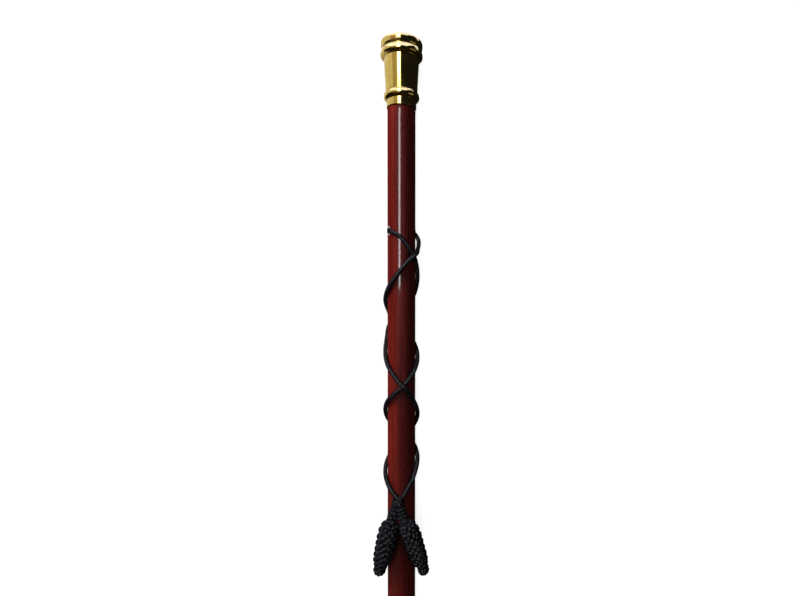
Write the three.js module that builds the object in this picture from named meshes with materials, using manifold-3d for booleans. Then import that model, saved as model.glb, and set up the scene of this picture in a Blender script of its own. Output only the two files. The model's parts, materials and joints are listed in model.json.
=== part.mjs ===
// A ceremonial staff of office: a slender round hardwood shaft with a turned brass
// head and foot, and a black cord laced through an eyeletted cross hole, wound down
// the shaft and finished with two plaited tassels. It lies on its side, +Z up, with
// the head towards +Y. Millimetres. The origin is under the middle of its length.
import * as THREE from 'three';
import { mergeVertices } from 'three/addons/utils/BufferGeometryUtils.js';
import Module from 'manifold-3d';

const wasm = await Module();
wasm.setup();

// Lengths along the staff are measured down from the crown of the head.
const LENGTH = 900;
const FIT_GAP = 0.3;                  // between pieces that touch in the real thing

const HEAD_LENGTH = 49;
const HEAD_RING_RADIUS = 14.9;        // both rings of the mouth
const HEAD_NECK_RADIUS = 11.1;        // narrowest part of the drum
const HEAD_DRUM_RADIUS = 12.3;        // top of the drum
const HEAD_FOOT_RING_RADIUS = 12.5;
const HEAD_COLLAR_RADIUS = 10.35;
const HEAD_COLLAR_LENGTH = 5.6;
const HEAD_DRUM_TOP = 14;             // where the drum meets the lower ring of the mouth
const CROWN_RISE = 1.6;

const SHAFT_TOP_RADIUS = 9.82;
const SHAFT_FOOT_RADIUS = 9.2;
const TENON_RADIUS = 8.4;             // turned-down ends that the brass sleeves over
const TENON_LENGTH = 20;

const FERRULE_LENGTH = 40;
const FERRULE_RING_RADIUS = 10.9;
const FERRULE_TOP_RADIUS = 9.7;
const FERRULE_TIP_RADIUS = 9.0;
const FERRULE_END_WALL = 6;

const HOLE_DOWN = 135.3;
const HOLE_TURN = -56;                // degrees round the staff from straight up, +X way
const EYELET_BORE = 2.4;
const EYELET_BARREL = 2.75;
const EYELET_FLANGE = 3.15;
const EYELET_SEAT = 9.1;              // height of the flange's underside above the axis
const EYELET_DEPTH = 5.6;

const CORD_RADIUS = 1.5;
const CORD_SIDES = 8;
const CORD_STEPS = 80;
const OVER_LIFT = 3.3;                // how far a strand rises to pass over the other
const OVER_SPREAD = 20;               // degrees of turn that the rise takes
const KNOT_DOWN = 319.4;
const KNOT_LENGTH = 5;
const KNOT_RADIUS = 3.3;
const KNOT_WIDEN = 1.18;
const KNOT_SIDE = -0.7;               // its middle, across the staff

const FLAT_DEPTH = 0.4;               // small flats that keep it from rolling
const ROUND = 44;                     // facets round the turned pieces
const DEG = Math.PI / 180;

// ---------------------------------------------------------------- how it lies
const headRest = HEAD_RING_RADIUS - FLAT_DEPTH;
const footRest = FERRULE_RING_RADIUS - FLAT_DEPTH;
const HEAD_REST_DOWN = 8.5;
const FOOT_REST_DOWN = LENGTH - FERRULE_LENGTH + 2.5;
const incline = Math.atan2(headRest - footRest, FOOT_REST_DOWN - HEAD_REST_DOWN);
const crownHeight = headRest + HEAD_REST_DOWN * Math.sin(incline);

const staff = new THREE.Group();
staff.rotation.x = incline;
staff.position.set(0, (LENGTH / 2) * Math.cos(incline), crownHeight);
staff.updateMatrixWorld(true);

// height of the staff's axis above the surface, at a distance down from the crown
const axisHeight = (down) => (crownHeight - down * Math.sin(incline)) / Math.cos(incline);

function shaftRadius(down) {
  const share = (down - HEAD_LENGTH) / (LENGTH - FERRULE_LENGTH - HEAD_LENGTH);
  return THREE.MathUtils.lerp(SHAFT_TOP_RADIUS, SHAFT_FOOT_RADIUS, share);
}

// a point beside the axis: degrees round it, distance down it, distance out from it
function aroundStaff(turn, down, out) {
  return new THREE.Vector3(out * Math.sin(turn * DEG), -down, out * Math.cos(turn * DEG));
}

// -------------------------------------------------------------------- helpers
function toSolid(geometry) {
  const bare = geometry.clone();
  bare.deleteAttribute('normal');
  bare.deleteAttribute('uv');
  const merged = mergeVertices(bare, 1e-5);
  return new wasm.Manifold(new wasm.Mesh({
    numProp: 3,
    vertProperties: new Float32Array(merged.attributes.position.array),
    triVerts: new Uint32Array(merged.index.array),
  }));
}

function toGeometry(solid) {
  const mesh = solid.getMesh();
  const geometry = new THREE.BufferGeometry();
  geometry.setAttribute('position', new THREE.BufferAttribute(mesh.vertProperties, 3));
  geometry.setIndex(new THREE.BufferAttribute(mesh.triVerts, 1));
  geometry.computeVertexNormals();
  return geometry;
}

function cut(geometry, ...tools) {
  return toGeometry(tools.reduce((solid, tool) => solid.subtract(toSolid(tool)), toSolid(geometry)));
}

// a turned piece: [radius, distance down] pairs from its foot up to its top
function turned(profile, facets = ROUND) {
  return new THREE.LatheGeometry(profile.map(([r, down]) => new THREE.Vector2(r, -down)), facets);
}

// a moulding between two [radius, down] points, swelling to a radius at its crest
function bead([r0, d0], [r1, d1], widest, steps, crest = 0.5) {
  return Array.from({ length: steps + 1 }, (_, i) => {
    const angle = (i / steps - 0.5) * Math.PI;
    const share = crest + Math.sin(angle) * (angle < 0 ? crest : 1 - crest);
    const ground = THREE.MathUtils.lerp(r0, r1, share);
    return [ground + (widest - ground) * Math.cos(angle), THREE.MathUtils.lerp(d0, d1, share)];
  });
}

// everything below the surface that the staff lies on, in the staff's own frame
function belowSurface() {
  const block = new THREE.BoxGeometry(80, LENGTH + 80, 40).translate(0, 0, -20);
  return block.applyMatrix4(staff.matrixWorld.clone().invert());
}

function piece(name, geometry, material) {
  const mesh = new THREE.Mesh(geometry, material);
  mesh.name = name;
  staff.add(mesh);
}

const lacqueredWood = new THREE.MeshStandardMaterial({ color: 0x6b201c, roughness: 0.22, metalness: 0 });
const polishedBrass = new THREE.MeshStandardMaterial({ color: 0xc9a653, roughness: 0.15, metalness: 1 });
const nickel = new THREE.MeshStandardMaterial({ color: 0xc8c6c2, roughness: 0.3, metalness: 1 });
const blackCord = new THREE.MeshStandardMaterial({ color: 0x17161f, roughness: 0.75, metalness: 0 });

// ----------------------------------------------------------------------- head
function head() {
  const foot = HEAD_LENGTH;
  const socketTop = foot - TENON_LENGTH - FIT_GAP;
  const socketRadius = TENON_RADIUS + FIT_GAP;
  const crown = Array.from({ length: 4 }, (_, i) => {
    const share = (i + 1) / 4;
    return [12.7 * (1 - share), CROWN_RISE * (1 - share) ** 2];
  });
  const collarTop = foot - HEAD_COLLAR_LENGTH;
  const drumFoot = foot - 11;
  const profile = [
    [0, socketTop], [socketRadius, socketTop], [socketRadius, foot],
    [HEAD_COLLAR_RADIUS, foot], [HEAD_COLLAR_RADIUS, collarTop + 0.2],
    ...bead([10.55, collarTop], [HEAD_NECK_RADIUS + 0.05, drumFoot + 0.2], HEAD_FOOT_RING_RADIUS, 7, 0.44),
    [HEAD_NECK_RADIUS, drumFoot], [HEAD_DRUM_RADIUS, HEAD_DRUM_TOP + 0.25],
    ...bead([12.5, HEAD_DRUM_TOP], [13.95, 8.7], HEAD_RING_RADIUS, 8, 0.38),
    ...bead([13.95, 8.3], [12.9, CROWN_RISE + 0.2], HEAD_RING_RADIUS, 8),
    ...crown,
  ];
  return cut(turned(profile), belowSurface());
}
piece('head', head(), polishedBrass);

// ---------------------------------------------------------------------- shaft
// along a bore axis that points out of the staff at a turn, foot of the tool inside
function boreTool(radius, from, to) {
  const tool = new THREE.CylinderGeometry(radius, radius, to - from, 24);
  return tool.translate(0, (from + to) / 2, 0).rotateX(Math.PI / 2).rotateY(HOLE_TURN * DEG)
    .translate(0, -HOLE_DOWN, 0);
}

function shaft() {
  const top = HEAD_LENGTH + FIT_GAP;
  const foot = LENGTH - FERRULE_LENGTH - FIT_GAP;
  const edge = 0.4;
  const body = turned([
    [0, LENGTH - FERRULE_END_WALL - FIT_GAP], [TENON_RADIUS, LENGTH - FERRULE_END_WALL - FIT_GAP],
    [TENON_RADIUS, foot], [SHAFT_FOOT_RADIUS, foot], [shaftRadius(500), 500], [shaftRadius(250), 250],
    [SHAFT_TOP_RADIUS, top + edge], [SHAFT_TOP_RADIUS - edge, top], [TENON_RADIUS, top],
    [TENON_RADIUS, HEAD_LENGTH - TENON_LENGTH], [0, HEAD_LENGTH - TENON_LENGTH],
  ]);
  const seatRadius = EYELET_FLANGE + FIT_GAP;
  const seat = EYELET_SEAT - FIT_GAP;
  return cut(body, boreTool(EYELET_BARREL + FIT_GAP, -20, 20),
    boreTool(seatRadius, seat, 20), boreTool(seatRadius, -20, -seat));
}
piece('shaft', shaft(), lacqueredWood);

// -------------------------------------------------------------------- ferrule
function ferrule() {
  const top = LENGTH - FERRULE_LENGTH;
  const socketRadius = TENON_RADIUS + FIT_GAP;
  const socketEnd = LENGTH - FERRULE_END_WALL;
  const round = 1.2;
  const profile = [
    [0, LENGTH], [FERRULE_TIP_RADIUS - round, LENGTH],
    [FERRULE_TIP_RADIUS - 0.3 * round, LENGTH - 0.3 * round], [FERRULE_TIP_RADIUS, LENGTH - round],
    [FERRULE_TOP_RADIUS, top + 5],
    ...bead([FERRULE_TOP_RADIUS, top + 4.6], [FERRULE_TOP_RADIUS, top + 0.4], FERRULE_RING_RADIUS, 7),
    [FERRULE_TOP_RADIUS - 0.2, top], [socketRadius, top], [socketRadius, socketEnd], [0, socketEnd],
  ];
  return cut(turned(profile), belowSurface());
}
piece('ferrule', ferrule(), polishedBrass);

// ----------------------------------------------------------------------- cord
// One length. It leaves the knot, winds up the shaft to the left eyelet, goes through
// the cross hole and winds back down the other way: degrees round the staff, distance
// down it, and distance out from its axis, which is negative past the cross hole.
const CORD_ROUTE = [
  [701.5, 315.2, 11.8], [619, 299, 11.75], [529, 280.8, 11.75], [450, 262, 11.75], [372, 242, 11.75],
  [297, 224.8, 11.75], [222, 200.6, 11.75], [137, 180, 11.75], [52, 151.6, 11.75], [24, 145.4, 11.75],
  [2, 140.1, 11.75], [-15, 137.6, 11.8], [-32, 136.2, 12.1], [-44, 135.6, 11.3], [-52.5, 135.4, 9.3],
  [-56, HOLE_DOWN, 6.5], [-56, HOLE_DOWN, -6.5], [-59.5, 135.7, -9.2], [-66, 137.3, -11.1],
  [-74, 140, -12.3], [-85, 143.4, -12.6], [-98, 147.2, -12.2], [-134, 152.6, -11.75],
  [-190, 166.2, -11.75], [-254, 181.4, -11.75], [-292, 189.3, -11.75], [-322, 198.6, -11.75],
  [-388, 210.4, -11.75], [-458, 226.6, -11.75], [-528, 242, -11.75], [-596, 254, -11.75],
  [-663, 269.4, -11.75], [-731, 280.8, -11.75], [-815, 297, -11.75], [-881, 315.2, -11.8],
];
const PASSES_OVER = [372, 220, -133, -731];     // turns at which the strand is the upper one
const PRESSED = { turn: 172, down: 280.8, spread: 34, reach: 13 };

class WoundCord extends THREE.Curve {
  constructor() {
    super();
    const keys = CORD_ROUTE.map(([turn, down, out]) => new THREE.Vector3(turn * DEG * 12, down, out));
    this.unrolled = new THREE.CatmullRomCurve3(keys, false, 'centripetal');
  }

  // steps are halfway between even ones and the route's own, which are closer at the eyelets
  getUtoTmapping(u) {
    return (u + super.getUtoTmapping(u)) / 2;
  }

  getPoint(t) {
    const { x, y: down, z } = this.unrolled.getPoint(t);
    const turn = x / DEG / 12;
    const rise = PASSES_OVER.reduce(
      (sum, at) => sum + OVER_LIFT * Math.exp(-(((turn - at) / OVER_SPREAD) ** 2)), 0);
    return aroundStaff(turn, down, z + Math.sign(z) * rise);
  }
}

// where the two strands cross under the staff its weight flattens them on the surface,
// and nothing of the cord goes below it
function pressFlat(geometry) {
  const position = geometry.attributes.position;
  const point = new THREE.Vector3();
  for (let i = 0; i < position.count; i++) {
    point.fromBufferAttribute(position, i);
    const turn = (Math.atan2(point.x, point.z) / DEG + 360) % 360;
    const out = Math.hypot(point.x, point.z);
    const wood = shaftRadius(-point.y) + 0.15;
    if (out < wood) continue;
    const away = ((turn - PRESSED.turn) / PRESSED.spread) ** 2
      + ((-point.y - PRESSED.down) / PRESSED.reach) ** 2;
    const keep = 1 - 0.52 * Math.exp(-away);
    const scale = (wood + (out - wood) * keep) / out;
    const lowest = 0.02 - axisHeight(-point.y);
    position.setXYZ(i, point.x * scale, point.y, Math.max(point.z * scale, lowest));
  }
  return geometry;
}

function ringShape(radius, sides) {
  return new THREE.Shape(Array.from({ length: sides }, (_, i) => {
    const angle = (i / sides) * 2 * Math.PI;
    return new THREE.Vector2(radius * Math.cos(angle), radius * Math.sin(angle));
  }));
}

function cordTube(radius) {
  return new THREE.ExtrudeGeometry(ringShape(radius, CORD_SIDES),
    { extrudePath: new WoundCord(), steps: CORD_STEPS, curveSegments: 1 });
}
piece('cord', pressFlat(cordTube(CORD_RADIUS)), blackCord);

// -------------------------------------------------------------------- eyelets
// the way through each is widened where the cord bends over its lip
function eyelet(turn) {
  const seat = EYELET_SEAT;
  const deep = seat - EYELET_DEPTH;
  const profile = [
    [EYELET_BORE, deep], [EYELET_BARREL, deep], [EYELET_BARREL, seat],
    [EYELET_FLANGE - 0.1, seat], [EYELET_FLANGE, seat + 0.2], [EYELET_FLANGE - 0.2, seat + 0.45],
    [EYELET_BARREL, seat + 0.5], [EYELET_BORE + 0.15, seat + 0.25], [EYELET_BORE, seat - 0.2],
    [EYELET_BORE, deep],
  ];
  const ring = new THREE.LatheGeometry(profile.map(([r, h]) => new THREE.Vector2(r, h)), 24);
  ring.rotateX(Math.PI / 2).rotateY(turn * DEG).translate(0, -HOLE_DOWN, 0);
  return cut(ring, cordTube(CORD_RADIUS + 0.1));
}
piece('eyelet_left', eyelet(HOLE_TURN), nickel);
piece('eyelet_right', eyelet(HOLE_TURN + 180), nickel);

// ----------------------------------------------------------------------- knot
// the two strands are seized together by three wraps of the cord
function knot() {
  const half = KNOT_LENGTH / 2;
  const wraps = [-1, 0, 1].flatMap((i) => {
    const middle = -i * KNOT_LENGTH / 3;
    return bead([KNOT_RADIUS - 0.9, middle + half / 3], [KNOT_RADIUS - 0.9, middle - half / 3],
      KNOT_RADIUS, 4);
  });
  const solid = new THREE.LatheGeometry(
    [[0, half], ...wraps, [0, -half]].map(([r, down]) => new THREE.Vector2(r, -down)), 20);
  const up = shaftRadius(KNOT_DOWN) + FIT_GAP + KNOT_RADIUS;
  return solid.scale(KNOT_WIDEN, 1, 1).translate(KNOT_SIDE, -KNOT_DOWN, up);
}
piece('knot', knot(), blackCord);

// -------------------------------------------------------------------- tassels
// centre lines: [across, down the staff, above the axis], from the knot to the end knob
const TASSEL_LEFT = [
  [-2.9, 323, 13.8], [-4.2, 326.6, 15.1], [-5.7, 331, 16], [-7.1, 339.7, 15.6],
  [-10.2, 353.7, 12.5], [-12.8, 363.4, 9.4], [-15, 372.9, 6.3],
];
const TASSEL_RIGHT = [
  [1.5, 323, 13.8], [3.2, 326.6, 15.1], [5.4, 331, 16.1], [8.2, 340.2, 15.4],
  [11.5, 353.7, 12.2], [13.8, 362.3, 9.8], [16.2, 372.8, 6.8],
];
const TASSEL_NECK = 7.5;
const TASSEL_BODY = 44;
// [share of the body's length, radius]: shoulder, belly, waist and end knob
const TASSEL_PROFILE = [
  [0, 3.5], [0.05, 5], [0.12, 6.2], [0.22, 6.85], [0.32, 7], [0.44, 6.7], [0.56, 6.2], [0.67, 5.6],
  [0.76, 5], [0.815, 4.1], [0.85, 4.2], [0.89, 4.5], [0.93, 4.3], [0.97, 3.1],
];

function tassel(line) {
  const path = new THREE.CatmullRomCurve3(line.map(([x, down, z]) => new THREE.Vector3(x, -down, z)));
  const length = path.getLength();
  const body = TASSEL_PROFILE.map(([share, r]) => [r, TASSEL_NECK + share * TASSEL_BODY]);
  const profile = [[0, 0], [1.5, 0], [2, 1.2], [2.9, 0.6 * TASSEL_NECK], ...body,
    [0, TASSEL_NECK + TASSEL_BODY]];
  const solid = new THREE.LatheGeometry(
    profile.map(([r, along]) => new THREE.Vector2(r, along)), 18);
  const position = solid.attributes.position;
  const whole = TASSEL_NECK + TASSEL_BODY;
  for (let i = 0; i < position.count; i++) {
    const at = THREE.MathUtils.clamp(position.getY(i) / whole, 0, 1);
    const tangent = path.getTangentAt(at);
    const side = new THREE.Vector3().crossVectors(tangent, new THREE.Vector3(0, 0, 1)).normalize();
    const top = new THREE.Vector3().crossVectors(side, tangent);
    const centre = path.getPointAt(at);
    centre.addScaledVector(side, position.getX(i)).addScaledVector(top, position.getZ(i));
    position.setXYZ(i, centre.x, centre.y, centre.z);
  }
  return solid;
}
piece('tassel_left', tassel(TASSEL_LEFT), blackCord);
piece('tassel_right', tassel(TASSEL_RIGHT), blackCord);

export default staff;
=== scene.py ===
# A ceremonial staff of office lying on its side: a lacquered hardwood shaft with a turned
# brass head and foot, and a black cord that is laced through it, wound down it and
# finished with two plaited tassels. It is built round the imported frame, in metres.
import json
import math

import bpy
import numpy as np
from mathutils import Matrix, Vector

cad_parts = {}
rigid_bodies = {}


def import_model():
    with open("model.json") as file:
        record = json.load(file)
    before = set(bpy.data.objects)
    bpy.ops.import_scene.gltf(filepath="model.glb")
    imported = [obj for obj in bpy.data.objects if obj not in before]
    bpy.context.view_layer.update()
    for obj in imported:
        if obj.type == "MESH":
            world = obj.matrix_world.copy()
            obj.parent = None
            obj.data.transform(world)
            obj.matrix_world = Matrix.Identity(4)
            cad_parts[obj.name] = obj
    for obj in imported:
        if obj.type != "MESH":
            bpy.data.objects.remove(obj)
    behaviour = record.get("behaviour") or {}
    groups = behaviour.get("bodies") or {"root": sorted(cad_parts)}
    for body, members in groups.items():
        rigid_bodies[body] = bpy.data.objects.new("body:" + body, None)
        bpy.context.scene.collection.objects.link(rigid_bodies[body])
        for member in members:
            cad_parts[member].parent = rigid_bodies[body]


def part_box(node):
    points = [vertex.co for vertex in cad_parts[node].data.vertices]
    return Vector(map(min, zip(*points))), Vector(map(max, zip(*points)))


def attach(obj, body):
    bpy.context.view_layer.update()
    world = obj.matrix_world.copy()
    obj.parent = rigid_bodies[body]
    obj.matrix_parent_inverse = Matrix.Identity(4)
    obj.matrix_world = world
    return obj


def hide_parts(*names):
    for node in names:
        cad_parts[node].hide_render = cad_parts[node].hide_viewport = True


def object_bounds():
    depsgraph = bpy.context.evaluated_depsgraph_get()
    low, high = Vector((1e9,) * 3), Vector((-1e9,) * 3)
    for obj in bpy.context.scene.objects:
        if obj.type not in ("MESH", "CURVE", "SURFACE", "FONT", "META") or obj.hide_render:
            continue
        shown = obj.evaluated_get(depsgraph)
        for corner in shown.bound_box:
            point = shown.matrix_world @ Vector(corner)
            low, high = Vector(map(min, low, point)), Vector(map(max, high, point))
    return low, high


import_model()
cad_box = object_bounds()

# The staff is drawn about its own axis in millimetres, with the crown of its head at
# zero, and then laid down: head ring and ferrule ring on the surface, head towards +Y.
HEAD_RING_RADIUS = 14.9
FERRULE_RING_RADIUS = 10.9
FLAT_DEPTH = 0.4
HEAD_REST_DOWN = 8.5
FOOT_REST_DOWN = 862.5
MM = 0.001
LENGTH = (cad_box[1].y - cad_box[0].y) / MM

head_rest = HEAD_RING_RADIUS - FLAT_DEPTH
foot_rest = FERRULE_RING_RADIUS - FLAT_DEPTH
incline = math.atan2(head_rest - foot_rest, FOOT_REST_DOWN - HEAD_REST_DOWN)
crown_height = head_rest + HEAD_REST_DOWN * math.sin(incline)
crown = Vector((0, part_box("head")[1].y, crown_height * MM))
LAID = Matrix.Translation(crown) @ Matrix.Rotation(incline, 4, "X")


# --- Camera ---------------------------------------------------------------------------
# Straight above the lying staff, level with the upper turns of the wound cord and a little
# to the staff's right, with the lens shifted to bring the staff back to the middle.
CAMERA_HEIGHT = 341
CAMERA_DOWN = 181.9
CAMERA_RIGHT = 42
LENS = 21.79
SENSOR = 36
FRAME_NUDGE = -0.001875  # of the frame's width

camera = bpy.data.objects.new("camera", bpy.data.cameras.new("camera"))
camera.data.lens = LENS
camera.data.sensor_width = SENSOR
camera.data.shift_x = FRAME_NUDGE - CAMERA_RIGHT / CAMERA_HEIGHT * LENS / SENSOR
camera.data.clip_start = 0.01
camera.data.clip_end = 20
camera.matrix_world = LAID @ Matrix.Translation(
    Vector((CAMERA_RIGHT, -CAMERA_DOWN, CAMERA_HEIGHT)) * MM)
bpy.context.scene.collection.objects.link(camera)
bpy.context.scene.camera = camera
bpy.context.scene.view_settings.view_transform = "Standard"


# --- Cord -----------------------------------------------------------------------------
# One length of black braided silk-like cord, 3 mm round. It leaves the knot, winds up
# the shaft to the left eyelet, goes through the cross hole and winds back down.
HOLE_DOWN = 135.3
HOLE_TURN = -56
CORD_RADIUS = 1.5
CORD_CARRIERS = 8
CORD_BRAID_PITCH = 7.0
CORD_STEP = 0.36
CORD_SIDES = 24
BRAID_RISE = 0.11
BRAID_CROSSING_RISE = 0.05
BRAID_SINK = 0.08
CORD_BEDS_IN = 0.5  # closer to the wood than the plain packed tube, which is a stiff prism
BEDS_BETWEEN = (8.5, 11.75)  # it beds in gradually from the first of these distances out
OVER_LIFT = 3.3
OVER_SPREAD = 20
SHAFT_TOP_RADIUS = 9.82
SHAFT_FOOT_RADIUS = 9.2
HEAD_LENGTH = 49
FERRULE_LENGTH = 40


def around_staff(turn, down, out):
    """Millimetres: degrees round the axis from straight up, distance down and out."""
    turn, down, out = np.broadcast_arrays(turn, down, out)
    angle = np.radians(turn)
    return np.stack([out * np.sin(angle), -down, out * np.cos(angle)], -1)


def lay_down(points):
    """Takes points drawn about the staff's axis, in millimetres, to the scene."""
    turned = np.asarray(points, float) * MM @ np.array(LAID.to_3x3()).T
    return turned + np.array(LAID.translation)


# degrees round the staff, distance down it, and distance out from its axis, which is
# negative past the cross hole
CORD_ROUTE = [
    (713, 318.6, 11.9), (619, 299, 11.75), (529, 280.8, 11.75), (450, 262, 11.75), (372, 242, 11.75),
    (297, 224.8, 11.75), (222, 200.6, 11.75), (137, 180, 11.75), (52, 151.6, 11.75), (24, 145.4, 11.75),
    (2, 140.1, 11.75), (-15, 137.6, 11.8), (-32, 136.2, 12.1), (-44, 135.6, 11.3), (-52.5, 135.4, 9.3),
    (-56, HOLE_DOWN, 6.5), (-56, HOLE_DOWN, -6.5), (-59.5, 135.7, -9.2), (-66, 137.3, -11.1),
    (-74, 140, -12.3), (-85, 143.4, -12.6), (-98, 147.2, -12.2), (-134, 152.6, -11.75),
    (-190, 166.2, -11.75), (-254, 181.4, -11.75), (-292, 189.3, -11.75), (-322, 198.6, -11.75),
    (-388, 210.4, -11.75), (-458, 226.6, -11.75), (-528, 242, -11.75), (-596, 254, -11.75),
    (-663, 269.4, -11.75), (-731, 280.8, -11.75), (-815, 297, -11.75), (-893, 318.6, -11.9),
]
PASSES_OVER = (372, 220, -133, -731)  # degrees where this strand lies over the other one
ROUTE_RADIUS = 12
PRESSED = {"turn": 172, "down": 280.8, "spread": 34, "reach": 13, "share": 0.52}
CLEAR_OF_WOOD = 0.15


def smooth_line(keys, per_key):
    """A centripetal Catmull-Rom line through the keys."""
    keys = np.asarray(keys, float)
    ends = np.vstack([2 * keys[0] - keys[1], keys, 2 * keys[-1] - keys[-2]])
    line = []
    for i in range(len(keys) - 1):
        p = ends[i:i + 4]
        spacing = np.linalg.norm(np.diff(p, axis=0), axis=1) ** 0.5
        knots = np.concatenate([[0], np.cumsum(spacing)])
        t = np.linspace(knots[1], knots[2], per_key, endpoint=False)[:, None]

        def between(a, b, i, j):
            return (a * (knots[j] - t) + b * (t - knots[i])) / (knots[j] - knots[i])

        a1, a2, a3 = (between(p[k], p[k + 1], k, k + 1) for k in range(3))
        line.append(between(between(a1, a2, 0, 2), between(a2, a3, 1, 3), 1, 2))
    return np.vstack([*line, keys[-1:]])


def evenly(line, step):
    """The same line with points a step apart."""
    along = np.concatenate([[0], np.cumsum(np.linalg.norm(np.diff(line, axis=0), axis=1))])
    at = np.linspace(0, along[-1], int(round(along[-1] / step)) + 1)
    return np.stack([np.interp(at, along, line[:, k]) for k in range(3)], -1)


def shaft_radius(down):
    """The radius of the tapered shaft at a distance down the staff."""
    share = (down - HEAD_LENGTH) / (LENGTH - FERRULE_LENGTH - HEAD_LENGTH)
    return SHAFT_TOP_RADIUS + (SHAFT_FOOT_RADIUS - SHAFT_TOP_RADIUS) * share


def press_flat(points):
    """Flattens what lies where the two strands cross under the staff's weight."""
    turn = np.degrees(np.arctan2(points[:, 0], points[:, 2])) % 360
    out = np.hypot(points[:, 0], points[:, 2])
    wood = shaft_radius(-points[:, 1]) + CLEAR_OF_WOOD
    away = ((turn - PRESSED["turn"]) / PRESSED["spread"]) ** 2
    away += ((-points[:, 1] - PRESSED["down"]) / PRESSED["reach"]) ** 2
    keep = np.where(out > wood, 1 - PRESSED["share"] * np.exp(-away), 1)
    scale = (wood + (out - wood) * keep) / out
    return points * np.stack([scale, np.ones_like(scale), scale], -1)


def frames_along(line):
    """Two unit vectors square to the line at each of its points, with no sudden turn."""
    tangent = np.gradient(line, axis=0)
    tangent /= np.linalg.norm(tangent, axis=1)[:, None]
    side = np.zeros_like(line)
    first = np.cross(tangent[0], [0.3, 0.1, 1.0])
    side[0] = first / np.linalg.norm(first)
    for i in range(1, len(line)):
        next_side = side[i - 1] - tangent[i] * np.dot(side[i - 1], tangent[i])
        side[i] = next_side / np.linalg.norm(next_side)
    return side, np.cross(tangent, side)


def mesh_piece(name, points, faces, material, uvs=None):
    """A smooth-shaded piece, its place in its mesh."""
    mesh = bpy.data.meshes.new(name)
    mesh.from_pydata([tuple(p) for p in points], [], faces)
    if uvs is not None:
        layer = mesh.uv_layers.new(name="UVMap")
        layer.data.foreach_set("uv", np.asarray(uvs, float).ravel())
    mesh.materials.append(material)
    mesh.shade_smooth()
    mesh.set_sharp_from_angle(angle=math.radians(50))
    piece = bpy.data.objects.new(name, mesh)
    bpy.context.scene.collection.objects.link(piece)
    return piece


def tube(name, line, radius, sides, material, relief=None, pressed=False):
    """A closed tube along a line. UVs run round it in turns and along it in millimetres."""
    side, top = frames_along(line)
    along = np.concatenate([[0], np.cumsum(np.linalg.norm(np.diff(line, axis=0), axis=1))])
    angle = np.linspace(0, 2 * np.pi, sides, endpoint=False)
    radius = np.broadcast_to(np.asarray(radius, float).reshape(-1, 1), (len(line), sides))
    if relief is not None:
        radius = radius + relief(angle[None, :], along[:, None])
    points = (line[:, None] + side[:, None] * (radius * np.cos(angle))[..., None]
              + top[:, None] * (radius * np.sin(angle))[..., None]).reshape(-1, 3)
    if pressed:
        points = press_flat(points)
    points = lay_down(points)
    points[:, 2] = np.maximum(points[:, 2], 0)
    rows = len(line)
    faces, uvs = [], []
    for r in range(rows - 1):
        for s in range(sides):
            n = (s + 1) % sides
            faces.append((r * sides + s, r * sides + n, (r + 1) * sides + n, (r + 1) * sides + s))
            u0, u1 = s / sides, (s + 1) / sides
            uvs += [(u0, along[r]), (u1, along[r]), (u1, along[r + 1]), (u0, along[r + 1])]
    faces += [tuple(range(sides))[::-1], tuple((rows - 1) * sides + s for s in range(sides))]
    uvs += [(0, 0)] * (2 * sides)
    return mesh_piece(name, points, faces, material, uvs)


def braid_relief(angle, along):
    """How far a round braid's carriers stand above the cord's mean surface."""
    lean = 2 * np.pi * along / CORD_BRAID_PITCH
    right = np.cos(CORD_CARRIERS / 2 * (angle + lean))
    left = np.cos(CORD_CARRIERS / 2 * (angle - lean))
    return BRAID_RISE * np.maximum(right, left) + BRAID_CROSSING_RISE * right * left - BRAID_SINK


def add_node(tree, kind, inputs=(), **settings):
    """One node with its settings, and each input given as a plain value or a link."""
    node = tree.nodes.new(kind)
    for key, value in settings.items():
        setattr(node, key, value)
    for socket, value in dict(inputs).items():
        if isinstance(value, bpy.types.NodeSocket):
            tree.links.new(value, node.inputs[socket])
        else:
            node.inputs[socket].default_value = value
    return node


def calc(tree, operation, *values):
    """The result of one sum on plain values or links."""
    return add_node(tree, "ShaderNodeMath", enumerate(values), operation=operation).outputs[0]


def colour_blend(tree, share, first, second):
    """The first colour where the share is 0, and the second where it is 1."""
    inputs = {0: share, 6: first, 7: second}
    return add_node(tree, "ShaderNodeMix", inputs, data_type="RGBA").outputs[2]


def rescale(tree, value, low, high, to_low=0.0, to_high=1.0):
    """Takes a value between low and high to the new range, and stops there."""
    inputs = {0: value, 1: low, 2: high, 3: to_low, 4: to_high}
    return add_node(tree, "ShaderNodeMapRange", inputs).outputs[0]


def noise(tree, place, size, detail=2.0, roughness=0.5):
    """Noise with features of a size, in the units of the place that it is given."""
    inputs = {"Vector": place, "Scale": 1 / size, "Detail": detail, "Roughness": roughness}
    return add_node(tree, "ShaderNodeTexNoise", inputs).outputs["Fac"]


def effect_group(name, inputs, outputs):
    """An empty shader node group with named sockets, its input and its output node."""
    group = bpy.data.node_groups.new(name, "ShaderNodeTree")
    for socket, kind in inputs:
        group.interface.new_socket(socket, in_out="INPUT", socket_type=kind)
    for socket in outputs:
        group.interface.new_socket(socket, in_out="OUTPUT", socket_type="NodeSocketFloat")
    return group, group.nodes.new("NodeGroupInput").outputs, group.nodes.new("NodeGroupOutput")


def finish_material(name, **constants):
    """A material whose shader has its constant values set on its own sockets."""
    material = bpy.data.materials.new(name)
    material.use_nodes = True
    shader = material.node_tree.nodes["Principled BSDF"]
    for socket, value in constants.items():
        shader.inputs[socket.replace("_", " ")].default_value = value
    return material, material.node_tree, shader


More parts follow.
